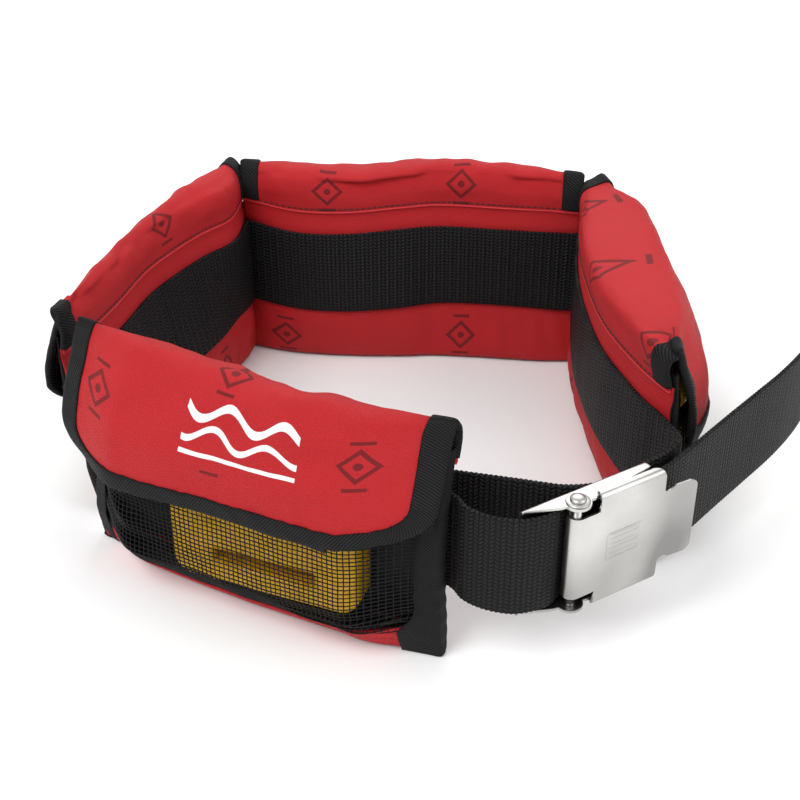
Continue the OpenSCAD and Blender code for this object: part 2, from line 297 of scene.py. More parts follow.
# ---- materials
class Shader:
    """A material's nodes. u and v are the piece's own flat coordinates, in mm."""

    def __init__(self, name):
        self.mat = bpy.data.materials.new(name)
        self.mat.use_nodes = True
        self.bsdf = self.mat.node_tree.nodes["Principled BSDF"]
        flat = self.node("ShaderNodeUVMap")
        flat.uv_map = "UVMap"
        split = self.node("ShaderNodeSeparateXYZ", flat.outputs[0])
        self.u, self.v = [self.mul(split.outputs[k], 1000.0) for k in (0, 1)]

    def feed(self, spot, value):
        """Links a socket, or sets a plain value."""
        if isinstance(value, bpy.types.NodeSocket):
            self.mat.node_tree.links.new(value, spot)
        else:
            spot.default_value = value

    def node(self, kind, *values):
        """New node, its first inputs fed in order."""
        node = self.mat.node_tree.nodes.new(kind)
        for spot, value in zip(node.inputs, values):
            self.feed(spot, value)
        return node

    def math(self, op, *values):
        node = self.node("ShaderNodeMath", *values)
        node.operation = op
        return node.outputs[0]

    def add(self, a, b):
        return self.math("ADD", a, b)

    def sub(self, a, b):
        return self.math("SUBTRACT", a, b)

    def mul(self, a, b):
        return self.math("MULTIPLY", a, b)

    def mul_add(self, a, b, c):
        return self.math("MULTIPLY_ADD", a, b, c)

    def size(self, a):
        return self.math("ABSOLUTE", a)

    def most(self, a, b):
        return self.math("MAXIMUM", a, b)

    def mix(self, share, a, b):
        node = self.node("ShaderNodeMix")
        node.data_type = "RGBA"
        for k, value in ((0, share), (6, a), (7, b)):
            self.feed(node.inputs[k], value)
        return node.outputs[2]

    def noise(self, size, detail=3.0, stretch=1.0):
        """Noise over the flat coordinates, with features of about size mm."""
        across, up = self.mul(self.u, 1.0 / size), self.mul(self.v, stretch / size)
        join = self.node("ShaderNodeCombineXYZ", across, up)
        node = self.node("ShaderNodeTexNoise")
        for label, value in (("Scale", 1.0), ("Detail", detail), ("Vector", join.outputs[0])):
            self.feed(node.inputs[label], value)
        return node.outputs[0]

    def wave(self, value, pitch):
        """0 to 1 wave along value, in mm."""
        return self.mul_add(self.math("SINE", self.mul(value, 2 * math.pi / pitch)), 0.5, 0.5)

    def below(self, value, edge):
        """1 where value is below edge, with a soft border."""
        soft = 0.12
        node = self.node("ShaderNodeMapRange", value, edge - soft, edge + soft, 1.0, 0.0)
        node.interpolation_type = "SMOOTHSTEP"
        return node.outputs[0]

    def repeat(self, value, period, shift):
        """value folded into -period/2 .. period/2."""
        return self.math("WRAP", self.add(value, shift), period / 2, -period / 2)

    def finish(self, base, height, relief, roughness, specular=0.5, **more):
        """Sets the colour, gloss and bump (relief in metres) and returns the material."""
        node = self.node("ShaderNodeBump")
        for label, value in (("Strength", 1.0), ("Distance", relief), ("Height", height)):
            self.feed(node.inputs[label], value)
        values = {"Base Color": base, "Roughness": roughness, "Specular IOR Level": specular,
                  "Normal": node.outputs[0], **more}
        for label, value in values.items():
            self.feed(self.bsdf.inputs[label], value)
        return self.mat


def grey(level, blue=0.0):
    """Dark neutral colour, a little bluer by blue."""
    return (level, level, level + blue, 1)


def mark_mask(sh, a, b):
    """Plain repeated mark: a diamond outline with a dot, between two short bars."""
    abs_a, abs_b = sh.size(a), sh.size(b)
    ring = sh.below(sh.size(sh.sub(sh.add(abs_a, abs_b), 7.4)), 1.3)
    dot = sh.below(sh.math("SQRT", sh.add(sh.mul(a, a), sh.mul(b, b))), 1.9)
    bars = sh.mul(sh.below(sh.size(sh.sub(abs_b, 11.2)), 0.85), sh.below(abs_a, 4.6))
    return sh.most(sh.most(ring, dot), bars)


def emblem_mask(sh):
    """Plain white print of the front flap: two wave lines over a thin bar."""
    a, b = sh.sub(sh.u, 9.0), sh.sub(sh.v, 58.0)
    within = sh.below(sh.size(a), 28.0)
    pitch = 27.0
    mask = sh.mul(sh.below(sh.size(sh.sub(b, 11.0)), 1.0), within)
    for middle, height, line, shift in ((-9.0, 4.2, 2.1, 0.0), (2.2, 3.2, 1.5, 6.0)):
        turn = sh.mul(sh.add(a, shift), 2 * math.pi / pitch)
        crest = sh.mul_add(sh.math("SINE", turn), height, middle)
        mask = sh.most(mask, sh.mul(sh.below(sh.size(sh.sub(b, crest)), line), within))
    return mask


def red_cloth(name, shift, rise, spacing, pitch, flap=False, emblem=False):
    """Coated red twill with darker printed marks. A flap gets a painted highlight along its hem ridge; emblem
    adds the white print.
    """
    sh = Shader(name)
    twill = sh.wave(sh.add(sh.u, sh.v), 0.9)
    thread = sh.mul_add(sh.wave(sh.sub(sh.u, sh.v), 0.75), 0.35, twill)
    cloud = sh.noise(14.0)
    base = sh.mix(cloud, (0.44, 0.009, 0.013, 1), (0.53, 0.014, 0.019, 1))
    base = sh.mix(sh.mul(thread, 0.4), base, (0.26, 0.004, 0.006, 1))
    base = sh.mix(sh.mul(sh.noise(0.9, 2.0), 0.3), base, (0.62, 0.03, 0.035, 1))
    row = sh.math("FLOOR", sh.math("DIVIDE", sh.add(sh.v, pitch / 2 + rise), pitch))
    odd = sh.mul(sh.math("MODULO", row, 2.0), spacing / 2)
    mark = mark_mask(sh, sh.repeat(sh.add(sh.u, odd), spacing, shift), sh.repeat(sh.v, pitch, rise))
    if emblem:
        mark = sh.mul(mark, sh.below(sh.v, 78.0))
    base = sh.mix(sh.mul(mark, 0.8), base, (0.10, 0.005, 0.008, 1))
    # painted highlight: flaps get a lighter red line along the raised hem ridge, where light catches it
    if flap:
        base = sh.mix(sh.below(sh.v, 1.5), base, (0.74, 0.05, 0.06, 1))
    if emblem:
        base = sh.mix(emblem_mask(sh), base, grey(0.86))
    return sh.finish(base, thread, 0.00018, sh.mul_add(cloud, 0.12, 0.6), 0.25)


def tape_cloth():
    """Black woven binding with diagonal ribs; lighter rib crests and darker valleys are painted highlight and
    shade.
    """
    sh = Shader("binding_tape")
    rib = sh.wave(sh.mul_add(sh.v, 0.7, sh.u), 1.5)
    fine = sh.wave(sh.mul_add(sh.u, -0.4, sh.v), 0.6)
    # painted highlight and shade: the colour is lighter on the rib crests and darker in the valleys
    base = sh.mix(rib, grey(0.001), grey(0.02, 0.001))
    base = sh.mix(sh.mul(sh.noise(6.0), 0.2), base, grey(0.03, 0.001))
    return sh.finish(base, sh.mul_add(fine, 0.25, rib), 0.0003, 0.6, 0.1)


def web_cloth():
    """Black ribbed webbing: columns of slanted threads that alternate in direction, with painted highlight on
    the crests and painted shade in the gaps.
    """
    sh = Shader("webbing")
    column = sh.math("DIVIDE", sh.u, 2.3)
    across = sh.math("FRACT", column)
    odd = sh.math("MODULO", sh.math("FLOOR", sh.add(column, 2000.0)), 2.0)
    slant = sh.mul(sh.sub(across, 0.5), sh.mul_add(odd, -2.6, 1.3))
    thread = sh.wave(sh.add(sh.v, slant), 2.05)
    centre = sh.size(sh.mul_add(across, 2.0, -1.0))
    height = sh.mul(thread, sh.sub(1.0, sh.math("POWER", centre, 3.0)))
    # painted highlight and shade: the thread crests are lighter and the gaps between threads and columns
    # darker
    base = sh.mix(height, grey(0.0008, 0.0002), grey(0.02, 0.002))
    base = sh.mix(sh.mul(sh.noise(0.7), 0.15), base, grey(0.022, 0.002))
    return sh.finish(base, height, 0.0007, 0.5, 0.13)


def mesh_plastic():
    """Coated black yarn of the net."""
    sh = Shader("mesh")
    base = sh.mix(sh.noise(3.0), grey(0.005, 0.001), grey(0.014, 0.002))
    return sh.finish(base, sh.noise(0.5), 0.00008, 0.4, 0.16)


def fastener_cloth():
    """Fuzzy black hook and loop."""
    sh = Shader("fastener")
    fuzz = sh.noise(0.6, 5.0)
    return sh.finish(sh.mix(fuzz, grey(0.002), grey(0.014, 0.001)), fuzz, 0.0006, 0.85)


def lead_coat():
    """Thick glossy yellow coat, deeper in colour in broad random patches."""
    sh = Shader("lead_coat")
    cloud = sh.noise(18.0, 4.0)
    base = sh.mix(cloud, (0.86, 0.50, 0.002, 1), (0.64, 0.33, 0.001, 1))
    coat = {"Coat Weight": 0.3, "Coat Roughness": 0.12}
    return sh.finish(base, sh.noise(5.0, 4.0), 0.0006, sh.mul_add(cloud, 0.15, 0.2), 0.3, **coat)


def steel_sheet():
    """Satin stainless steel with faint drawing lines, handling marks and broad painted dark zones that stand
    in for reflections.
    """
    sh = Shader("steel")
    lines = sh.noise(6.0, 5.0, 26.0)
    cloud = sh.noise(15.0, 4.0)
    base = sh.mix(cloud, (0.74, 0.725, 0.70, 1), (0.60, 0.59, 0.57, 1))
    # painted reflection: broad, stretched dark zones in the colour stand in for dark surroundings mirrored in
    # the steel
    base = sh.mix(sh.mul_add(sh.noise(42.0, 1.0, 0.6), 2.6, -0.85), base, (0.26, 0.255, 0.25, 1))
    rough = sh.mul_add(lines, 0.14, sh.mul_add(cloud, 0.12, 0.17))
    return sh.finish(base, lines, 0.00003, rough, Metallic=1.0)


def lining_cloth():
    """Black layer on the inner side of the red fabric, with a faint weave."""
    sh = Shader("lining")
    weave = sh.wave(sh.add(sh.u, sh.v), 0.9)
    return sh.finish(sh.mix(weave, grey(0.003), (0.012, 0.011, 0.012, 1)), weave, 0.0001, 0.55)


def thread_cloth():
    """Dark twisted sewing thread."""
    sh = Shader("thread")
    twist = sh.wave(sh.add(sh.u, sh.v), 0.5)
    base = sh.mix(twist, (0.006, 0.004, 0.005, 1), (0.03, 0.012, 0.014, 1))
    return sh.finish(base, twist, 0.0001, 0.6)


# Repeated marks: shift along, shift up, distance along and between rows, in mm.
MARKS = {"front": (68.0, -58.0, 130.0, 30.0), "left": (12.0, -20.0, 100.0, 50.0),
         "back": (28.0, -14.0, 72.0, 50.0), "right": (8.0, -19.0, 70.0, 50.0)}
# The marks' shift along on the back and bottom panels.
PANEL_MARKS = {"front": 20.0, "left": 40.0, "back": 30.0, "right": 60.0}
RED = {n: red_cloth(f"red_{n}", *MARKS[n], True, n == "front") for n in POCKETS}
RED_PANEL = {n: red_cloth(f"red_panel_{n}", PANEL_MARKS[n], -16.0, 100.0, 50.0) for n in POCKETS}
TAPE, WEB, NET, LINING = tape_cloth(), web_cloth(), mesh_plastic(), lining_cloth()
HOOK, LEAD, STEEL, THREAD = fastener_cloth(), lead_coat(), steel_sheet(), thread_cloth()


# ---- shapes of a pocket, local and in metres
WEB_CURVES = {n: catmull(WEB_LINE[n], 16) for n in POCKETS}


def web_y(name, x, z):
    """How far the webbing lies towards the body at x and at the height z."""
    curve = WEB_CURVES[name]
    low = np.interp(x / MM, curve[:, 0], curve[:, 1])
    high = np.interp(x / MM, curve[:, 0], curve[:, 2])
    share = np.clip((z - WEB_LOW) / (WEB_HIGH - WEB_LOW), 0.0, 1.0)
    return MM * (low + (high - low) * share)


def top_lean(name, x, z):
    """How far the top of a pocket leans towards the body at the height z."""
    return MM * table(LEAN[name], x) * smooth((z / MM - 72.0) / 42.0)


def outer_shift(name, x, z):
    """How far the outer side of a pocket is moved towards the body."""
    follow = 0.12 + (TOP_FOLLOW[name] - 0.12) * smooth((z / MM - 78.0) / 30.0)
    return web_y(name, x, WEB_HIGH) * follow + top_lean(name, x, z) + MM * table(TRIM[name], x)


def depth(name, x, z):
    """Depth of a filled pocket at x and z, pinched towards its ends and its foot."""
    full = 10.5 + 20.5 * (1.0 - smooth((np.abs(x) / MM - 52.0) / 38.0))
    foot = table(FOOT.get(name, LEVEL_FOOT), x)
    rise = 1.0 - (1.0 - np.clip(z / (24.0 * MM), 0.0, 1.0)) ** 1.15
    return MM * full * (foot + (1.0 - foot) * rise)


def flap_profile(name):
    """Side view of the flap, from the hem seam over the ridge to its lower edge."""
    r, f = RIDGE[name], TOP_FILL[name]
    points = [(-2.4, 96.2), (-1.9, 97.2), (-1.6, 98.6), (-1.2, 103.0), (-1.0, 108.5), (-3.0, 115.2),
              (r, 119.5), (r * 0.6 - 11.5 * f, 117.8), (-24.5 * (0.3 + 0.7 * f), 110.5),
              (-30.5 * (0.6 + 0.4 * f), 99.0), (-34.2, 86.0), (-35.5, 72.0), (-35.6, 62.0), (-35.2, 57.5)]
    curve = catmull(np.array(points) * MM, 24)
    return arc_lengths(curve), curve


FLAP_CURVES = {n: flap_profile(n) for n in POCKETS}
FLAP_LEN = {n: FLAP_CURVES[n][0][-1] for n in POCKETS}


def flap_point(name, x, l):
    """Outer face of the flap at x along the pocket and l down from the hem seam."""
    lengths, curve = FLAP_CURVES[name]
    over = np.maximum(l - lengths[-1], 0.0)
    y = np.interp(l, lengths, curve[:, 0])
    z = np.interp(l, lengths, curve[:, 1]) - over
    outer = smooth((-y - 1.5 * MM) / (14.0 * MM))
    side = np.abs(x) / MM
    pinch = smooth((side - 52.0) / 40.0)
    y = y * (1.0 - 0.5 * pinch * outer) - 1.0 * MM * pinch
    z = z - 1.4 * MM * smooth((side - 62.0) / 30.0) * smooth((z / MM - 96.0) / 22.0)
    share = (TOP_Z - table(FLAP_LOW.get(name, LEVEL_LOW), x) * MM) / (TOP_Z - FLAP_Z)
    z = np.where(z < TOP_Z, TOP_Z - (TOP_Z - z) * (1.0 + (share - 1.0) * outer), z)
    seed = SEEDS[name]
    calm = 1.0 - 0.75 * smooth((side - 74.0) / 14.0)
    hem = smooth((l / MM - 4.0) / 10.0)
    top = smooth((z / MM - 84.0) / 14.0)
    bulge = (1.5 + 1.1 * top) * ripple(x, l, 58.0 * MM, seed)
    bulge = bulge + (0.42 + 0.35 * top) * ripple(x, l, 21.0 * MM, seed + 50)
    bulge = bulge + 0.2 * ripple(x, l, 9.0 * MM, seed + 90)
    bulge = np.where(bulge < 0, (0.35 + 0.55 * top) * bulge, bulge) * MM * calm * hem
    y = y - bulge * np.where(outer < 0.05, -0.6, 0.75)
    y = y + 0.8 * MM * np.exp(-((l / MM - 0.9) / 0.8) ** 2)
    z = z + bulge * 0.6 * smooth((z / MM - 100.0) / 15.0)
    inner = web_y(name, x, WEB_HIGH) + top_lean(name, x, z)
    y = y + inner * (1.0 - outer) + outer_shift(name, x, z) * outer
    return np.stack([x, y, z], -1)


def flap_half_width(name, l):
    """Half width of the flap at l, rounded at its lower corners."""
    end = FLAP_LEN[name]
    into = np.clip((l - (end - CORNER_R)) / CORNER_R, 0.0, 1.0)
    return HALF - CORNER_R * (1.0 - np.sqrt(1.0 - into ** 2))


def flap_outline(name):
    """Edge of the flap as (x, l) points with the direction into the cloth, from one hem end to the other."""
    low = FLAP_LEN[name] - CORNER_R
    side = np.arange(3.0 * MM, low, EDGE_STEP)
    turn = np.linspace(0, math.pi / 2, 24)
    edge = [(-HALF, l) for l in side]
    edge += [(CORNER_R - HALF - CORNER_R * math.cos(t), low + CORNER_R * math.sin(t)) for t in turn]
    into = [(1.0, 0.0)] * len(side) + [(math.cos(t), -math.sin(t)) for t in turn]
    bottom = np.arange(-HALF + CORNER_R, HALF - CORNER_R, EDGE_STEP)[1:]
    far_edge = [(-x, l) for x, l in edge[::-1]]
    far_into = [(-x, l) for x, l in into[::-1]]
    edge += [(x, FLAP_LEN[name]) for x in bottom] + far_edge
    into += [(0.0, -1.0)] * len(bottom) + far_into
    return np.array(edge), np.array(into)


def surface_normal(fn, a, b):
    """Outward normal of the surface fn at its coordinates a and b."""
    h = 0.4 * MM
    da = fn(a + h, b) - fn(a - h, b)
    db = fn(a, b + h) - fn(a, b - h)
    n = np.cross(db, da)
    return n / np.maximum(np.linalg.norm(n, axis=-1, keepdims=True), 1e-12)


# Section of the folded tape: how far in from the edge, and how far off the cloth's outer face, in mm.
TAPE_SECTION = np.array([(9.7, 0.1), (9.4, 0.75), (8.6, 1.0), (6.4, 1.1), (3.6, 1.15), (1.4, 1.1),
                         (0.2, 0.75), (-0.6, 0.1), (-0.95, -0.7), (-0.6, -1.6), (0.2, -2.2), (1.4, -2.5),
                         (5.0, -2.5), (8.6, -2.4), (9.5, -2.2), (9.5, -1.4), (5.0, -1.3), (1.0, -1.0),
                         (1.0, -0.3), (5.0, -0.1)])


def edge_tape(name, pose, fn, edge, into, seed):
    """Folded binding tape along the edge of a surface."""
    along = arc_lengths(edge)
    inset, off = TAPE_SECTION[:, 0] * MM, TAPE_SECTION[:, 1] * MM
    wob = 1.0 + 0.16 * ripple(along, along * 0.3, 15.0 * MM, seed)
    a = edge[:, None, 0] + into[:, None, 0] * inset[None, :]
    b = edge[:, None, 1] + into[:, None, 1] * inset[None, :]
    p = fn(a, b)
    n = surface_normal(fn, a, b)
    p = p + n * (off[None, :] * wob[:, None])[..., None]
    p[..., 2] += 0.25 * MM * ripple(along, along, 7.0 * MM, seed + 1)[:, None]
    return swept_object(name, place(pose, p), tube_uvs(along, arc_lengths(TAPE_SECTION) * MM))


def stitch_row(name, centres, along, off):
    """Stitches as small pills: their middles, directions along the seam and directions off the cloth."""
    sides, cuts = 6, 5
    length, radius = 2.5 * MM, 0.42 * MM
    t = np.repeat(np.linspace(-1.0, 1.0, cuts), sides)
    c = np.tile(2 * math.pi * np.arange(sides) / sides, cuts)
    round_r = radius * np.sqrt(np.maximum(0.0, 1.0 - t * t) * 0.9 + 0.1)
    shape = np.stack([t * length / 2, round_r * np.cos(c), 0.8 * round_r * np.sin(c)], 1)
    axes = np.stack([along, np.cross(off, along), off], 1)
    points = centres[:, None] + shape[None] @ axes
    base = grid_faces(cuts, sides, close=True)
    faces = np.concatenate([base + i * len(shape) for i in range(len(centres))])
    return mesh_object(name, points.reshape(-1, 3), faces.tolist(), np.tile(shape[:, :2], (len(centres), 1)))


def seam_stitches(name, pose, fn, path, lift):
    """A row of stitches on a surface, along a path of its two coordinates."""
    path = resample(path, STITCH_PITCH)
    p = fn(path[:, 0], path[:, 1])
    n = surface_normal(fn, path[:, 0], path[:, 1])
    t = directions(p)
    turn = np.stack([pose[1], pose[2], UP], 0)
    return stitch_row(name, place(pose, p + n * lift), t @ turn, n @ turn)


def build_flap(name):
    """Red flap from the hem seam over the top to its lower edge, with its binding and stitches."""
    pose = pocket_frame(name)
    end = FLAP_LEN[name]
    rows = np.concatenate([np.linspace(0, 4 * MM, 13)[:-1], np.arange(4 * MM, end - CORNER_R, 1.6 * MM),
                           end - CORNER_R + CORNER_R * np.sin(np.linspace(0.02, math.pi / 2 * 0.985, 16))])
    cols = np.linspace(-1, 1, 112)
    l = np.repeat(rows[:, None], len(cols), 1)
    x = cols[None, :] * flap_half_width(name, rows)[:, None]
    p = flap_point(name, x, l)
    uvs = np.stack([x, l], -1)
    obj = sheet_object(f"{name}_flap_cloth", place(pose, p), uvs, -pose[2])
    finish_piece(obj, RED[name], nodes=[f"{name}_flap"])
    fn = lambda a, b: flap_point(name, a, b)
    edge, into = flap_outline(name)
    tape = edge_tape(f"{name}_flap_edge", pose, fn, edge, into, SEEDS[name] + 7)
    finish_piece(tape, TAPE, nodes=[f"{name}_flap_binding"])
    for piece in (obj, tape):
        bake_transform(piece)
    hem = np.stack([np.linspace(-HALF + 10 * MM, HALF - 10 * MM, 60), np.full(60, 2.9 * MM)], 1)
    row = seam_stitches(f"{name}_hem_stitches", pose, fn, hem, lift=0.25 * MM)
    finish_piece(row, THREAD, f"{name}_pocket")


def foot_line(name, x):
    """Where the back panel meets the ground, towards the body."""
    return HEEL[name] * MM + 0.35 * web_y(name, x, WEB_LOW)


def back_point(name, x, z):
    """Body-side face of a pocket's back panel."""
    zz, side = z / MM, np.abs(x) / MM
    rise = smooth(zz / 35.0)
    y = foot_line(name, x) * (1.0 - rise) + (web_y(name, x, z) - 1.15 * MM) * rise
    low = np.sin(math.pi * np.clip(zz / 35.0, 0.0, 1.0))
    y = y + MM * (2.6 * low - 1.6 * smooth((5.0 - zz) / 5.0) - 1.3 * smooth((zz - 86.0) / 9.0))
    pinch = smooth((side - 70.0) / 22.0)
    y = y - MM * (1.6 * pinch + 1.4 * low * pinch)
    field = 0.9 * ripple(x, z, 34.0 * MM, SEEDS[name] + 20)
    field = field + 0.5 * ripple(x, z * 0.4, 13.0 * MM, SEEDS[name] + 21)
    y = y + MM * field * low + top_lean(name, x, z)
    return np.stack([x + 0 * z, y, z + 0 * x], -1)


def build_back(name):
    """Back panel behind the webbing: red towards the body, black inside."""
    pose = pocket_frame(name)
    z = np.linspace(1.4 * MM, 99.0 * MM, 64)
    x = np.linspace(-BACK_HALF[name], BACK_HALF[name], 112)
    gx, gz = np.meshgrid(x, z)
    p = back_point(name, gx, gz)
    uvs = np.stack([gx, gz], -1)
    outer_t = FABRIC_T - LINING_T
    layers = (("cloth", RED_PANEL[name], outer_t, "base_cloth"), ("lining", LINING, LINING_T, "back_cloth"))
    for label, material, thick, under in layers:
        obj = sheet_object(f"{name}_back_{label}", place(pose, p), uvs, pose[2], thick)
        finish_piece(obj, material, f"{name}_pocket", [f"{name}_back_panel"])
        p[..., 1] -= outer_t


# Section of the bottom panel: share of its width, share of the pocket's depth, and height in mm.
BASE_CURVE = catmull([(0.0, 0.0, 9.0), (0.06, 0.0, 4.0), (0.14, 0.05, 1.4), (0.24, 0.16, 0.8),
                      (0.5, 0.5, 0.7), (0.76, 0.86, 0.8), (0.86, 0.97, 1.4), (0.94, 1.0, 3.4),
                      (1.0, 1.0, 9.0)], 8)


def strip_height(name, x):
    """Height of the red strip below the mesh."""
    return MM * table(STRIP.get(name, LEVEL_STRIP), x)


def base_point(name, x, q):
    """Outer face of the bottom panel; q runs from the back panel, under the pocket and up the front."""
    a = np.interp(q, BASE_CURVE[:, 0], BASE_CURVE[:, 1])
    z = np.interp(q, BASE_CURVE[:, 0], BASE_CURVE[:, 2]) * MM
    z = np.where(q > 0.94, 3.4 * MM + (q - 0.94) / 0.06 * (strip_height(name, x) - 3.4 * MM), z)
    start = foot_line(name, x) - 3.0 * MM
    front = -depth(name, x, z) - 1.0 * MM + outer_shift(name, x, z)
    y = start + (front - start) * a
    z = z + 0.35 * MM * (1.0 + ripple(x, y, 16.0 * MM, SEEDS[name] + 31)) * smooth((0.9 - q) / 0.2)
    return np.stack([x + 0 * q, y, z], -1)


def build_base(name):
    """Bottom panel, which turns up at the front as the strip below the net, with its black inner side."""
    pose = pocket_frame(name)
    q = np.linspace(0, 1, 46)
    x = np.linspace(-PANEL_HALF, PANEL_HALF, 100)
    gx, gq = np.meshgrid(x, q)
    uvs = np.stack([gx, gq * 44 * MM], -1)
    p = base_point(name, gx, gq)
    obj = sheet_object(f"{name}_base_cloth", place(pose, p), uvs, -UP)
    finish_piece(obj, RED_PANEL[name], f"{name}_pocket", [f"{name}_bottom_panel"])
    wall = smooth((gq - 0.6) / 0.3) - 1.5 * smooth((0.2 - gq) / 0.15)
    inner = p + np.stack([0 * gx, 1.4 * MM * wall, (FABRIC_T + 0.1 * MM) * smooth((0.97 - gq) / 0.1)], -1)
    lining = sheet_object(f"{name}_base_lining", place(pose, inner[:-4]), uvs[:-4], -UP, LINING_T)
    finish_piece(lining, LINING, f"{name}_pocket", [f"{name}_bottom_panel"])
    if name == "front":
        seam = np.stack([np.linspace(34 * MM, 84 * MM, 30), np.full(30, 0.965)], 1)
        fn = lambda a, b: base_point(name, a, b)
        row = seam_stitches("front_strip_stitches", pose, fn, seam, lift=0.2 * MM)
        finish_piece(row, THREAD, "front_pocket")


def net_line(name, x, z):
    """Where the net lies towards the body, before its folds."""
    swell = 0.9 * MM * np.sin(np.clip(z / (72.0 * MM), 0, 1) * math.pi)
    return 0.6 * MM - depth(name, x, z) - swell + outer_shift(name, x, np.minimum(z, 76 * MM))


def net_point(name, x, z):
    """Middle of the mesh window's net."""
    zz = z / MM
    y = 0 * zz
    if name == "front":
        fold = smooth((x / MM - 18.0) / 22.0) * smooth((30.0 - zz) / 9.0)
        slope = zz - 0.07 * (x / MM - 40.0)
        y = y + fold * 1.6 * np.sin(2 * math.pi * slope / 7.2)
        y = y + 0.9 * smooth((-x / MM - 30.0) / 30.0) * np.sin(2 * math.pi * (zz + 0.25 * x / MM) / 17.0)
    y = y + 0.4 * ripple(x, z, 26.0 * MM, SEEDS[name] + 40)
    return np.stack([x + 0 * z, y * MM + net_line(name, x, z), z + 0 * x], -1)


def build_net(name):
    """Mesh window, one strand for each edge of a grid, with the tape along its mouth."""
    pose = pocket_frame(name)
    columns = int(2 * PANEL_HALF / MESH_PITCH) + 1
    x = np.linspace(-PANEL_HALF, PANEL_HALF, columns)
    rows = int((MOUTH_Z - 2 * MM) / MESH_PITCH) + 1
    t = np.linspace(0, 1, rows)
    gx, gt = np.meshgrid(x, t)
    low = strip_height(name, gx) - 1.5 * MM
    gz = low + (MOUTH_Z + 1.0 * MM - low) * gt
    p = net_point(name, gx, gz)
    obj = sheet_object(f"{name}_net", place(pose, p), np.stack([gx, gz], -1), -pose[2], thick=0)
    wires = obj.modifiers.new("strands", "WIREFRAME")
    wires.thickness = STRAND
    wires.use_even_offset = False
    wires.use_replace = True
    wires.use_boundary = True
    finish_piece(obj, NET, f"{name}_pocket", [f"{name}_mesh_window"])
    edge = np.stack([np.linspace(-PANEL_HALF, PANEL_HALF, 140), np.full(140, MOUTH_Z + 5.0 * MM)], 1)
    into = np.tile([0.0, -0.62], (140, 1))
    fn = lambda a, b: net_point(name, a, b)
    tape = edge_tape(f"{name}_mouth_edge", pose, fn, edge, into, SEEDS[name] + 9)
    finish_piece(tape, TAPE, f"{name}_pocket", [f"{name}_mouth_binding"])


# Plan of the tape round a pocket's end: in from the end in mm, share of the way from the back panel to the
# net, and how far off that line in mm.
END_SECTION = np.array([(8.0, 0, -1.5), (3.0, 0, -1.5), (1.0, 0, -1.8), (-0.2, 0.12, -1.2), (-0.6, 0.35, 0),
                        (-0.6, 0.65, 0), (-0.2, 0.88, 0), (1.0, 1, -0.2), (3.0, 1, -0.7), (6.5, 1, -0.9),
                        (9.5, 1, -1.0), (9.5, 1, 0.1), (6.5, 1, 0.2), (3.0, 1, 0.4), (1.4, 0.85, 0.3),
                        (0.6, 0.62, 0), (0.6, 0.38, 0), (1.4, 0.15, -1.6), (3.0, 0, -2.5), (8.0, 0, -2.5)])


def build_end(name, side, letter):
    """Folded tape that closes one end of a pocket, from the ground to below the ridge."""
    pose = pocket_frame(name)
    z = np.arange(0.6 * MM, 107.0 * MM, 1.4 * MM)
    seed = SEEDS[name] + (60 if side > 0 else 70)
    sway = 0.55 * ripple(z, z * 0.2, 46.0 * MM, seed) + 0.2 * ripple(z, z, 11.0 * MM, seed + 1)
    flare = smooth((27.0 - z / MM) / 14.0) if name == "front" and side > 0 else 0.0 * z
    leg = 1.0 + 0.7 * flare[:, None] * (END_SECTION[None, :, 1] > 0.9)
    a = END_SECTION[None, :, 0] * leg + sway[:, None]
    x = side * (HALF + 0.2 * MM - a * MM)
    gz = np.repeat(z[:, None], len(END_SECTION), 1)
    inner = back_point(name, x, gz)[..., 1]
    outer = net_line(name, x, gz) - 0.7 * MM
    outer = inner + (outer - inner) * (1.0 - 0.35 * smooth((gz / MM - 84.0) / 22.0))
    y = inner + (outer - inner) * END_SECTION[None, :, 1] + END_SECTION[None, :, 2] * MM
    y = y - MM * flare[:, None] * END_SECTION[None, :, 1]
    p = np.stack([x, y, gz], -1)
    uvs = tube_uvs(z, arc_lengths(p[10]))
    obj = swept_object(f"{name}_end_{letter}", place(pose, p), uvs, flip=side > 0)
    finish_piece(obj, TAPE, f"{name}_pocket", [f"{name}_end_binding_{letter}"])


def build_fasteners(name):
    """Hook and loop strips: one on the net below its binding, one inside the flap."""
    pose = pocket_frame(name)
    low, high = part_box(f"{name}_loop_strip")
    gx, gz = np.meshgrid(np.linspace(-50 * MM, 50 * MM, 90), np.linspace(low[2], high[2], 14))
    rim = np.minimum(np.minimum(50 * MM - np.abs(gx), gz - low[2]), high[2] - gz)
    fur = 0.15 * MM * ripple(gx, gz, 2.6 * MM, SEEDS[name] + 4, 12) * smooth(rim / (1.5 * MM))
    uvs = np.stack([gx, gz], -1)
    loop = net_point(name, gx, gz)
    loop[..., 1] -= 1.5 * MM + fur
    lengths, curve = FLAP_CURVES[name]
    gl = np.interp(-gz, -curve[::-1, 1][::-1], lengths)
    fn = lambda a, b: flap_point(name, a, b)
    hook = fn(gx, gl) - surface_normal(fn, gx, gl) * (2.3 * MM + fur)[..., None]
    strips = (("loop", loop, -pose[2], f"{name}_pocket"), ("hook", hook, pose[2], f"{name}_flap_body"))
    for kind, p, facing, body in strips:
        obj = sheet_object(f"{name}_{kind}_tape", place(pose, p), uvs, facing, 0.8 * MM)
        finish_piece(obj, HOOK, body, [f"{name}_{kind}_strip"])


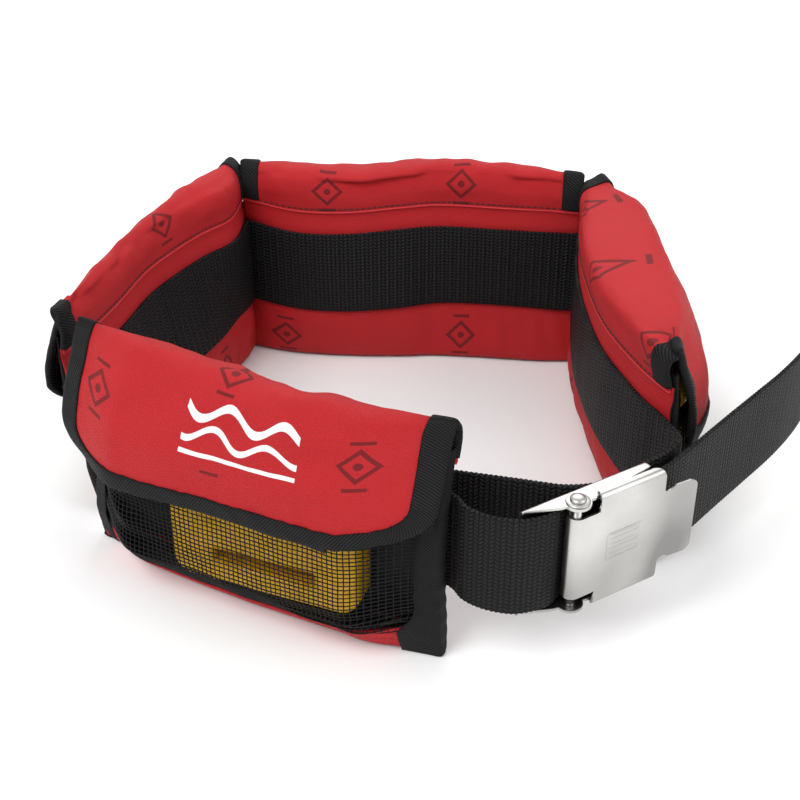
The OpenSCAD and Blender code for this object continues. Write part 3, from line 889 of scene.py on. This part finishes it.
def round_outline(curve, half_x, half_y, radius, middle_y):
    """Adds a rectangle with round corners to a flat curve."""
    corners = ((1, 1, 0), (-1, 1, 90), (-1, -1, 180), (1, -1, 270))
    points = []
    for side_x, side_y, start in corners:
        for t in np.radians(np.linspace(start, start + 90, 9)):
            x = side_x * (half_x - radius) + radius * math.cos(t)
            y = middle_y + side_y * (half_y - radius) + radius * math.sin(t)
            points.append((x, y, 0, 1))
    spline = curve.splines.new("POLY")
    spline.points.add(len(points) - 1)
    for point, co in zip(spline.points, points):
        point.co = co
    spline.use_cyclic_u = True


def block_mesh(name):
    """A lead block lying flat around the origin: length along X, height along Y, thickness along Z."""
    length, height, thick = BLOCK_SIZE
    slot_half, slot_r, slot_y = 25 * MM, 4.0 * MM, 15 * MM
    slot_edge = 0.8 * BLOCK_EDGE
    curve = bpy.data.curves.new(f"{name}_block", "CURVE")
    curve.dimensions = "2D"
    curve.fill_mode = "BOTH"
    round_outline(curve, length / 2 - BLOCK_EDGE, height / 2 - BLOCK_EDGE, 6.5 * MM, 0.0)
    for side in (-1, 1):
        round_outline(curve, slot_half + slot_edge, slot_r + slot_edge, slot_r, side * slot_y)
    curve.extrude = thick / 2 - BLOCK_EDGE
    curve.bevel_depth = BLOCK_EDGE
    curve.bevel_resolution = 5
    made = bpy.data.objects.new(f"{name}_block_curve", curve)
    bpy.context.scene.collection.objects.link(made)
    bpy.context.view_layer.update()
    mesh = bpy.data.meshes.new_from_object(made.evaluated_get(bpy.context.evaluated_depsgraph_get()))
    bpy.data.objects.remove(made)
    for layer in list(mesh.uv_layers):
        mesh.uv_layers.remove(layer)
    return mesh


def build_weight(name):
    """Coated lead block with two rounded slots; the coat softens every edge."""
    pose = pocket_frame(name)
    low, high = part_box(f"{name}_weight")
    middle = (np.array(low) + np.array(high)) / 2
    local = middle - pose[0]
    mesh = block_mesh(name)
    co = np.array([v.co for v in mesh.vertices], float)
    turn = math.radians(WEIGHT_TURN.get(name, 0.0))
    x = local @ pose[1] + co[:, 0] * math.cos(turn) + co[:, 2] * math.sin(turn)
    y = local @ pose[2] + co[:, 0] * math.sin(turn) - co[:, 2] * math.cos(turn)
    mesh.vertices.foreach_set("co", place(pose, np.stack([x, y, middle[2] + co[:, 1]], 1)).ravel())
    obj = finished_object(f"{name}_lead_block", mesh, co[:, :2] + 0.6 * co[:, 2:3])
    finish_piece(obj, LEAD, f"{name}_weight_body", [f"{name}_weight"])


for pocket in POCKETS:
    build_base(pocket)
    build_back(pocket)
    build_net(pocket)
    build_end(pocket, -1, "a")
    build_end(pocket, 1, "b")
    build_fasteners(pocket)
    build_weight(pocket)
    build_flap(pocket)


# ---- webbing
SCALLOP = 2.1 * MM        # distance of the thread loops along the webbing's edges


def strap_object(name, path, z_mid, start=0.0):
    """Upright webbing along a path: x and y of its middle, and how far its upper edge is off them.

    Returns the piece and where its end lies along the strap."""
    path = resample(path, 0.7 * MM)
    along = arc_lengths(path[:, :2]) + start
    t = directions(path[:, :2])
    side = np.stack([-t[:, 1], t[:, 0]], 1)
    half = (WEB_HIGH - WEB_LOW) / 2
    levels = np.linspace(-half + 0.9 * MM, half - 0.9 * MM, 12)
    bevel = [(WEB_T * 0.36, half - 0.25 * MM), (0.0, half), (-WEB_T * 0.36, half - 0.25 * MM)]
    front = [(WEB_T / 2, z) for z in levels] + bevel
    section = np.array(front + [(-off, -z) for off, z in front])
    edge = smooth((np.abs(section[:, 1]) - (half - 1.3 * MM)) / (1.3 * MM))
    scallop = 0.3 * MM * np.cos(2 * math.pi * along / SCALLOP)
    z = section[None, :, 1] + np.sign(section[None, :, 1]) * edge[None, :] * (scallop[:, None] - 0.25 * MM)
    off = section[None, :, 0] * (1.0 + 0.06 * np.cos(2 * math.pi * along / SCALLOP))[:, None]
    points = np.zeros(z.shape + (3,))
    points[..., :2] = path[:, None, :2] + side[:, None, :] * off[..., None]
    points[..., :2] += path[:, None, 2:] * (section[None, :, 1] / half)[..., None]
    points[..., 2] = z_mid + z
    return swept_object(name, points, tube_uvs(along, section[:, 1] + half), flip=True), along[-1]


def pocket_line(name, x0, x1, count=40):
    """Path of the webbing along a pocket."""
    x = np.linspace(x0, x1, count)
    low, high = web_y(name, x, WEB_LOW), web_y(name, x, WEB_HIGH)
    pose = pocket_frame(name)
    middle = place(pose, np.stack([x, (low + high) / 2, 0 * x], 1))[:, :2]
    return np.hstack([middle, ((high - low) / 2)[:, None] * pose[2][None, :2]])


def buckle_line(points):
    p = np.array([(a, b, 0.0) for a, b in points]) * MM
    return np.hstack([place(buckle_frame(), p)[:, :2], np.zeros((len(p), 2))])


def around_fold(a, b):
    """One smooth path from line a to line b, which meet near a fold."""
    return catmull(np.concatenate([a[::4], a[-1:], b[:1], b[4::4], b[-1:]]), 6)


WEB_MID = (WEB_LOW + WEB_HIGH) / 2
NEAR = 88 * MM            # where a pocket's stretch of webbing ends, short of the fold
CLEAR_OF_FOLD = 10        # points from the end of a line to where its direction is taken
# Plans of the straps in the buckle's frame, in mm: under the cam, the free end, and through the slots.
RUNNING = [(-38.8, 37.6), (-37.6, 31.4), (-38.0, 24.5), (-35.6, 17.5), (-31.0, 10.8), (-24.6, 5.3),
           (-16, 2.6), (-9.5, 2.4), (-4.6, 4.3), (0, 5.6), (10, 5.3), (18, 3.2), (26, 2.4), (36, 2.5),
           (43, 2.5)]
FREE = [(43, 2.5), (46.5, 2.5), (56, 4.4), (75, 10), (96, 16.5), (121, 24), (147, 32), (172, 42),
        (196, 55), (216, 69)]
FIXED = [(69.5, 17.5), (62, 12.2), (52, 10.1), (44, 9.9), (39, 9.9), (28.8, 5.2), (24.2, 5.2), (14, 9.9),
         (9, 11.8), (2, 16.6), (-5, 24), (-14, 33), (-25, 44), (-36, 55), (-46, 64.5)]


def blend_at(obj, before, after):
    """Works out the strap's direction across the fold between two lines, clear of where they meet, but does
    not use it; it only bakes the strap's placement into its points.
    """
    d = np.append((after[CLEAR_OF_FOLD] - before[-1 - CLEAR_OF_FOLD])[:2], 0.0)
    d /= np.linalg.norm(d)
    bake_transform(obj)


def web_piece(name, path, start, nodes, body=None):
    """One stretch of webbing; returns it and where its end lies along the strap."""
    obj, end = strap_object(name, path, WEB_MID, start)
    finish_piece(obj, WEB, body, nodes)
    return obj, end


def build_webbing():
    """The body side of the ring, a piece for each fold, then the strap through the buckle and its end."""
    tail = resample(catmull(buckle_line(FIXED), 8), 2 * MM)
    starts = {"front": pocket_line("front", 90 * MM, -NEAR, 60)}
    for name in POCKETS[1:]:
        starts[name] = pocket_line(name, 0, -NEAR)
    folds = ("fold_front_left", "ring_flex", "fold_back_right", "fold_right_front")
    reach = 0.0
    for k, (name, joint) in enumerate(zip(POCKETS, folds)):
        last = k == len(POCKETS) - 1
        after = tail if last else pocket_line(POCKETS[k + 1], NEAR, 0)
        nodes = [f"{name}_webbing"] + (["fixed_strap"] if last else [])
        obj, end = web_piece(f"web_{name}", around_fold(starts[name], after), reach, nodes)
        blend_at(obj, starts[name], after)
        reach = end
    obj, end = web_piece("web_running", catmull(buckle_line(RUNNING), 10), 0.0, ["running_strap"], "buckle")
    obj, free = web_piece("web_free_end", catmull(buckle_line(FREE), 10), end, ["strap_free_end"], "buckle")


build_webbing()


# ---- buckle
STEEL_T = 1.2 * MM
STEEL_EDGE = 0.28 * MM
LEVER_HALF = 31.2         # half of the lever's cut width with its flanges laid flat, in mm
CURL_HALF = 21.0          # and at the curl round the pin
SLOTS = (15.0, 24.0, 29.0, 38.0)    # where the base's two slots start and end, in mm from the pin


def steel_sheet_object(name, p, uvs, outward, body, nodes, keep=None):
    obj = sheet_object(name, place(buckle_frame(), p), uvs, outward, STEEL_T, 0.0, keep)
    edge = obj.modifiers.new("edge", "BEVEL")
    edge.width = STEEL_EDGE
    edge.segments = 2
    edge.limit_method = "ANGLE"
    edge.angle_limit = math.radians(50)
    finish_piece(obj, STEEL, body, nodes)


def bent_section(t, flat, radius):
    """A sheet's width bent over at both edges: returns (across, down) for the distance t from the middle."""
    over = np.maximum(np.abs(t) - flat, 0.0)
    turn = np.minimum(over / radius, math.pi / 2)
    rest = np.maximum(over - radius * math.pi / 2, 0.0)
    across = np.minimum(np.abs(t), flat) + radius * np.sin(turn)
    return np.sign(t) * across, radius * (1.0 - np.cos(turn)) + rest


def lever_half(x):
    """Half of the lever's cut width at x, in mm, its flanges laid flat."""
    if x < 9.0:
        return CURL_HALF
    if x < 9.6:
        return CURL_HALF + (LEVER_HALF - CURL_HALF) * (x - 9.0) / 0.6
    if x < 39.0:
        return LEVER_HALF
    if x < 43.4:
        return LEVER_HALF - (LEVER_HALF - 24.0) * (1.0 - math.sqrt(max(0.0, 1.0 - ((x - 39.0) / 4.4) ** 2)))
    if x < 49.6:
        return min(24.0, 22.0 - math.sqrt(max(0.0, 4.5 ** 2 - (x - 46.0) ** 2)))
    if x < 57.0:
        return 19.0
    return 19.0 - 4.0 * (1.0 - math.sqrt(max(0.0, 1.0 - ((x - 57.0) / 4.0) ** 2)))


def build_lever():
    """Cam lever: the sheet curls round the pin, runs on as a plate with bent edges and ends in a tab."""
    radius = 3.8
    curl = [(radius * math.cos(t), radius * math.sin(t), 0.0) for t in np.radians(np.linspace(75, 262, 30))]
    bow = np.sin(np.linspace(0, 1.5, 9))
    xs = np.concatenate([np.arange(0, 9, 0.9), np.linspace(9, 9.6, 4), np.arange(10, 39, 0.45),
                         39 + 4.4 * bow, np.linspace(43.5, 50.4, 24), np.arange(51, 57, 1.0), 57 + 4 * bow])
    xs = np.unique(np.round(xs, 3))
    run = [(x, -radius, x) for x in xs]
    rows = np.array(curl + run)
    flat, bend = 26.6, 1.9
    t = [np.linspace(0, 12, 25), np.linspace(12, 25, 12)[1:], np.linspace(25, LEVER_HALF, 15)[1:]]
    t = np.concatenate(t) / LEVER_HALF
    t = np.concatenate([-t[:0:-1], t])
    half = np.array([lever_half(x) if i >= len(curl) else CURL_HALF for i, x in enumerate(rows[:, 2])])
    gt = t[None, :] * half[:, None]
    across, down = bent_section(gt, flat, bend)
    down = np.where((rows[:, 2] >= 8.9)[:, None], down, 0.0)
    across = np.where((rows[:, 2] >= 8.9)[:, None], across, gt)
    x = np.repeat(rows[:, 0][:, None], len(t), 1)
    y = rows[:, 1][:, None] + down
    # stamped panel: a sunk rectangle with three raised straight ribs
    ex, ez = np.abs(x - 23.0) - 9.5, np.abs(across) - 7.5
    inside_x, inside_z = smooth(-ex / 0.7), smooth(-ez / 0.7)
    ribs = np.cos(np.clip(across, -7.5, 7.5) / 7.5 * math.pi * 3.0)
    ribs = smooth((ribs - 0.2) / 0.6) * smooth((-ex - 1.6) / 1.0) * smooth((-ez - 0.8) / 0.6)
    plate = np.where((np.arange(len(rows)) >= len(curl))[:, None], 1.0, 0.0)
    y = y + plate * (0.5 * inside_x * inside_z - 0.55 * ribs)
    # tab bends very slightly forward
    y = y - 0.9 * smooth((x - 45.0) / 16.0) * plate
    p = np.stack([x, y, across], -1) * MM
    length = arc_lengths(rows[:, :2]) * MM
    uvs = np.stack([np.repeat(length[:, None], len(t), 1), gt * MM], -1)
    pose = buckle_frame()
    steel_sheet_object("lever_plate", p, uvs, -pose[2], "lever", ["buckle_lever"])


def flange_edge(x):
    """How far the base's side flange reaches towards the front at x, in mm."""
    line = float(np.interp(x, (-23.5, -8.0, 8.0, 41.0), (6.6, 0.2, -2.0, 3.6)))
    if abs(x) < 5.7:
        line = min(line, -math.sqrt(5.8 ** 2 - x * x) * 0.98)
    return line


def build_base_plate():
    """Buckle base: plate behind the straps with two bar slots, and side flanges that carry the pin."""
    rows = np.concatenate([np.linspace(-23.5, 41, 87), np.linspace(-6, 6, 31), SLOTS])
    rows = np.unique(np.round(rows, 3))
    flat, bend, back = 25.2, 1.5, 7.4
    reach = np.array([flange_edge(x) for x in rows])
    cut = flat + bend * math.pi / 2 + np.maximum(back - bend - reach, 0.05)
    core = np.linspace(0, flat, 16)
    arc = np.linspace(flat, flat + bend * math.pi / 2, 7)[1:]
    knee = flat + bend * math.pi / 2
    cols = []
    for c in cut:
        wing = np.linspace(knee, c, 10)[1:]
        one = np.concatenate([core, arc, wing])
        cols.append(np.concatenate([-one[:0:-1], one]))
    gt = np.array(cols)
    across, down = bent_section(gt, flat, bend)
    x = np.repeat(rows[:, None], gt.shape[1], 1)
    p = np.stack([x, back - down, across], -1) * MM
    mid_x = (x[:-1, :-1] + x[1:, 1:]) / 2
    mid_z = np.abs(across[:-1, :-1] + across[1:, 1:]) / 2
    slot = ((mid_x > SLOTS[0]) & (mid_x < SLOTS[1])) | ((mid_x > SLOTS[2]) & (mid_x < SLOTS[3]))
    keep = ~(slot & (mid_z < 25.6))
    uvs = np.stack([x, gt], -1) * MM
    steel_sheet_object("buckle_body", p, uvs, buckle_frame()[2], "buckle", ["buckle_base"], keep)


def lathe(name, profile, z_sign, body, nodes, steps=40):
    """Turned piece on the pivot's axis; profile holds (radius, height) in mm, from the middle outwards."""
    profile = np.array(profile, float)
    turn = np.linspace(0, 2 * math.pi, steps, endpoint=False)
    rings = np.zeros((len(profile), steps, 3))
    rings[..., 0] = profile[:, None, 0] * np.cos(turn) * MM
    rings[..., 1] = profile[:, None, 0] * np.sin(turn) * MM
    rings[..., 2] = z_sign * profile[:, None, 1] * MM
    uvs = np.zeros(rings.shape[:2] + (2,))
    uvs[..., 0] = rings[..., 0] + rings[..., 2]
    uvs[..., 1] = rings[..., 1]
    obj = swept_object(name, place(buckle_frame(), rings), uvs, flip=z_sign < 0)
    finish_piece(obj, STEEL, body, nodes)


build_lever()
build_base_plate()
HEAD = [(1.95, 26.0), (1.95, 28.1), (3.3, 28.1), (3.5, 28.5), (3.4, 29.0), (2.9, 29.5), (2.0, 29.85),
        (0.9, 30.0), (0.05, 30.02)]
WASHER = [(2.1, 27.35), (5.0, 27.35), (5.2, 27.6), (5.1, 27.95), (4.7, 28.15), (2.1, 28.15)]
lathe("pin_shaft", [(0.05, -27), (1.95, -27), (1.95, 27), (0.05, 27)], 1, "buckle", ["pivot_pin"], 24)
for label, sign in (("top", 1), ("low", -1)):
    lathe(f"pin_head_{label}", HEAD, sign, "buckle", ["pivot_pin"])
    lathe(f"washer_{label}", WASHER, sign, "buckle", ["pivot_washers"])


# ---- floor, light and camera
def build_stage():
    floor = mesh_object("floor", [(-6, -6, 0), (6, -6, 0), (6, 6, 0), (-6, 6, 0)], [(0, 1, 2, 3)],
                        [(0, 0), (1, 0), (1, 1), (0, 1)], False)
    sh = Shader("floor")
    sh.feed(sh.bsdf.inputs["Base Color"], grey(0.93))
    sh.feed(sh.bsdf.inputs["Roughness"], 0.9)
    floor.data.materials.append(sh.mat)
    world = bpy.data.worlds.new("studio")
    world.use_nodes = True
    sky = world.node_tree.nodes["Background"]
    sky.inputs["Color"].default_value = grey(1.0)
    sky.inputs["Strength"].default_value = 0.85
    bpy.context.scene.world = world
    lights = (("key", (-0.75, -0.75, 1.35), 0.9, 14.0), ("fill", (1.1, -0.5, 0.9), 1.2, 6.0),
              ("back", (0.1, 1.2, 1.1), 1.2, 7.0))
    for name, where, size, power in lights:
        data = bpy.data.lights.new(name, "AREA")
        data.shape = "DISK"
        data.size = size
        data.energy = power
        lamp = bpy.data.objects.new(name, data)
        bpy.context.scene.collection.objects.link(lamp)
        lamp.location = where
        lamp.rotation_euler = (Vector((0, 0, 0.06)) - Vector(where)).to_track_quat("-Z", "Y").to_euler()


def build_camera():
    data = bpy.data.cameras.new("camera")
    data.sensor_width = 36.0
    data.lens = 63.0
    data.clip_start = 0.01
    camera = bpy.data.objects.new("camera", data)
    bpy.context.scene.collection.objects.link(camera)
    camera.location = (-0.02068, -0.59906, 0.429)
    camera.rotation_euler = (math.radians(57.0), 0.0, 0.0)
    bpy.context.scene.camera = camera


build_stage()
build_camera()
bpy.context.scene.view_settings.view_transform = "Standard"
